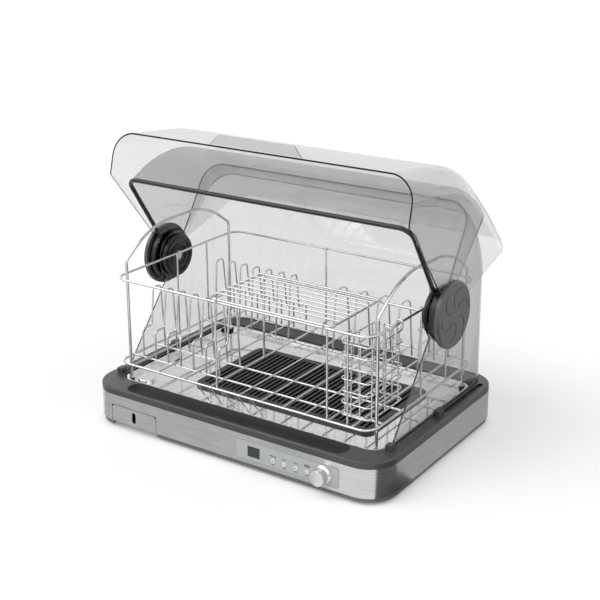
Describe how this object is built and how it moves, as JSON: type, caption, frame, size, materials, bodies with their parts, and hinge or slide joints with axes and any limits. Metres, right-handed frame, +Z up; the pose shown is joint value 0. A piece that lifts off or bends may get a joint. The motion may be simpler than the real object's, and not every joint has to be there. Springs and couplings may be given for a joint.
{
  "type": "dish dryer",
  "caption": "Free-standing electric dish dryer with a steel-banded base, smoked swing-over lid, wire dish rack, water drawer and front knob and buttons.",
  "frame": {"origin": "on the floor under the middle of the base", "axes": "+X to the right seen from the front, +Y to the back, +Z up"},
  "size_m": [0.562, 0.426, 0.4848],
  "materials": {
    "brushed_band": "horizontally brushed stainless sheet",
    "polished_steel": "polished stainless sheet",
    "chrome_wire": "bright plated wire",
    "smoked_plastic": "clear moulded sheet with a grey smoke tint",
    "grey_plastic": "satin dark grey moulding",
    "skirt_plastic": "satin grey moulding",
    "black_plastic": "satin black moulding",
    "drawer_plastic": "satin grey moulding",
    "silver_plastic": "satin silver grey",
    "panel_film": "light grey panel film",
    "display_glass": "dark tinted window",
    "button_plastic": "white moulded caps",
    "knob_plastic": "satin warm grey",
    "machined_steel": "turned steel",
    "motor_paint": "painted motor can",
    "heater_metal": "bare fins",
    "heater_holder": "folded sheet frame",
    "board": "circuit board",
    "filter_felt": "woven filter disc",
    "rubber": "soft black feet"
  },
  "bodies": {
    "base": {"air_duct": "black_plastic", "air_grille": "black_plastic", "bottom_pan": "skirt_plastic", "case_screws": "machined_steel", "control_board": "board", "control_panel": "panel_film", "cord_inlet": "black_plastic", "cover_clips": "grey_plastic", "cup_shelf": "chrome_wire", "cutlery_basket": "chrome_wire", "display_window": "display_glass", "drain_plug": "polished_steel", "drawer_runners": "black_plastic", "drip_tray": "polished_steel", "fan_housing": "black_plastic", "fan_motor": "motor_paint", "front_comb": "chrome_wire", "glass_pegs": "chrome_wire", "heater_fins": "heater_metal", "heater_frame": "heater_holder", "hood": "smoked_plastic", "hood_front_bar": "black_plastic", "hub_collars": "black_plastic", "hub_spacer_left": "black_plastic", "hub_spacer_right": "black_plastic", "inner_hub_left": "black_plastic", "inner_hub_right": "black_plastic", "intake_filter": "filter_felt", "knob_encoder": "black_plastic", "pivot_pin_left": "machined_steel", "pivot_pin_right": "machined_steel", "plate_dividers": "chrome_wire", "power_board": "board", "rack_arch_left": "chrome_wire", "rack_arch_right": "chrome_wire", "rack_cross_wires": "chrome_wire", "rack_feet": "rubber", "rack_floor_wires": "chrome_wire", "rack_lower_ring": "chrome_wire", "rack_upper_rail": "chrome_wire", "rack_uprights": "chrome_wire", "rear_cover": "smoked_plastic", "rubber_feet": "rubber", "side_wires": "chrome_wire", "steel_band": "brushed_band", "top_rim": "grey_plastic"},
    "visor": {"visor_shell": "smoked_plastic", "visor_handle": "smoked_plastic", "hub_cover_left": "silver_plastic", "hub_cover_right": "silver_plastic"},
    "drawer": {"drawer_front": "brushed_band", "drawer_box": "drawer_plastic"},
    "knob_body": {"knob": "knob_plastic", "knob_shaft": "machined_steel"},
    "button_body_1": {"button_1": "button_plastic"},
    "button_body_2": {"button_2": "button_plastic"},
    "button_body_3": {"button_3": "button_plastic"},
    "button_body_4": {"button_4": "button_plastic"},
    "fan": {"fan_shaft": "machined_steel", "fan_wheel": "black_plastic"}
  },
  "joints": [
    {"name": "visor_hinge", "type": "hinge", "parent": "base", "child": "visor", "pos_m": [0, 0.01, 0.235], "axis": [1, 0, 0], "range_deg": [0, 104]},
    {"name": "drawer_slide", "type": "slide", "parent": "base", "child": "drawer", "axis": [0, -1, 0], "range_m": [0, 0.1]},
    {"name": "knob_turn", "type": "hinge", "parent": "base", "child": "knob_body", "pos_m": [0.178, -0.19, 0.0315], "axis": [0, -1, 0], "continuous": true},
    {"name": "fan_spin", "type": "hinge", "parent": "base", "child": "fan", "pos_m": [0.082, 0, 0.03], "axis": [0, 0, 1], "continuous": true},
    {"name": "button_1_press", "type": "slide", "parent": "base", "child": "button_body_1", "axis": [0, 1, 0], "range_m": [0, 0.0008], "stiffness_N_per_m": 200},
    {"name": "button_2_press", "type": "slide", "parent": "base", "child": "button_body_2", "axis": [0, 1, 0], "range_m": [0, 0.0008], "stiffness_N_per_m": 200},
    {"name": "button_3_press", "type": "slide", "parent": "base", "child": "button_body_3", "axis": [0, 1, 0], "range_m": [0, 0.0008], "stiffness_N_per_m": 200},
    {"name": "button_4_press", "type": "slide", "parent": "base", "child": "button_body_4", "axis": [0, 1, 0], "range_m": [0, 0.0008], "stiffness_N_per_m": 200}
  ]
}
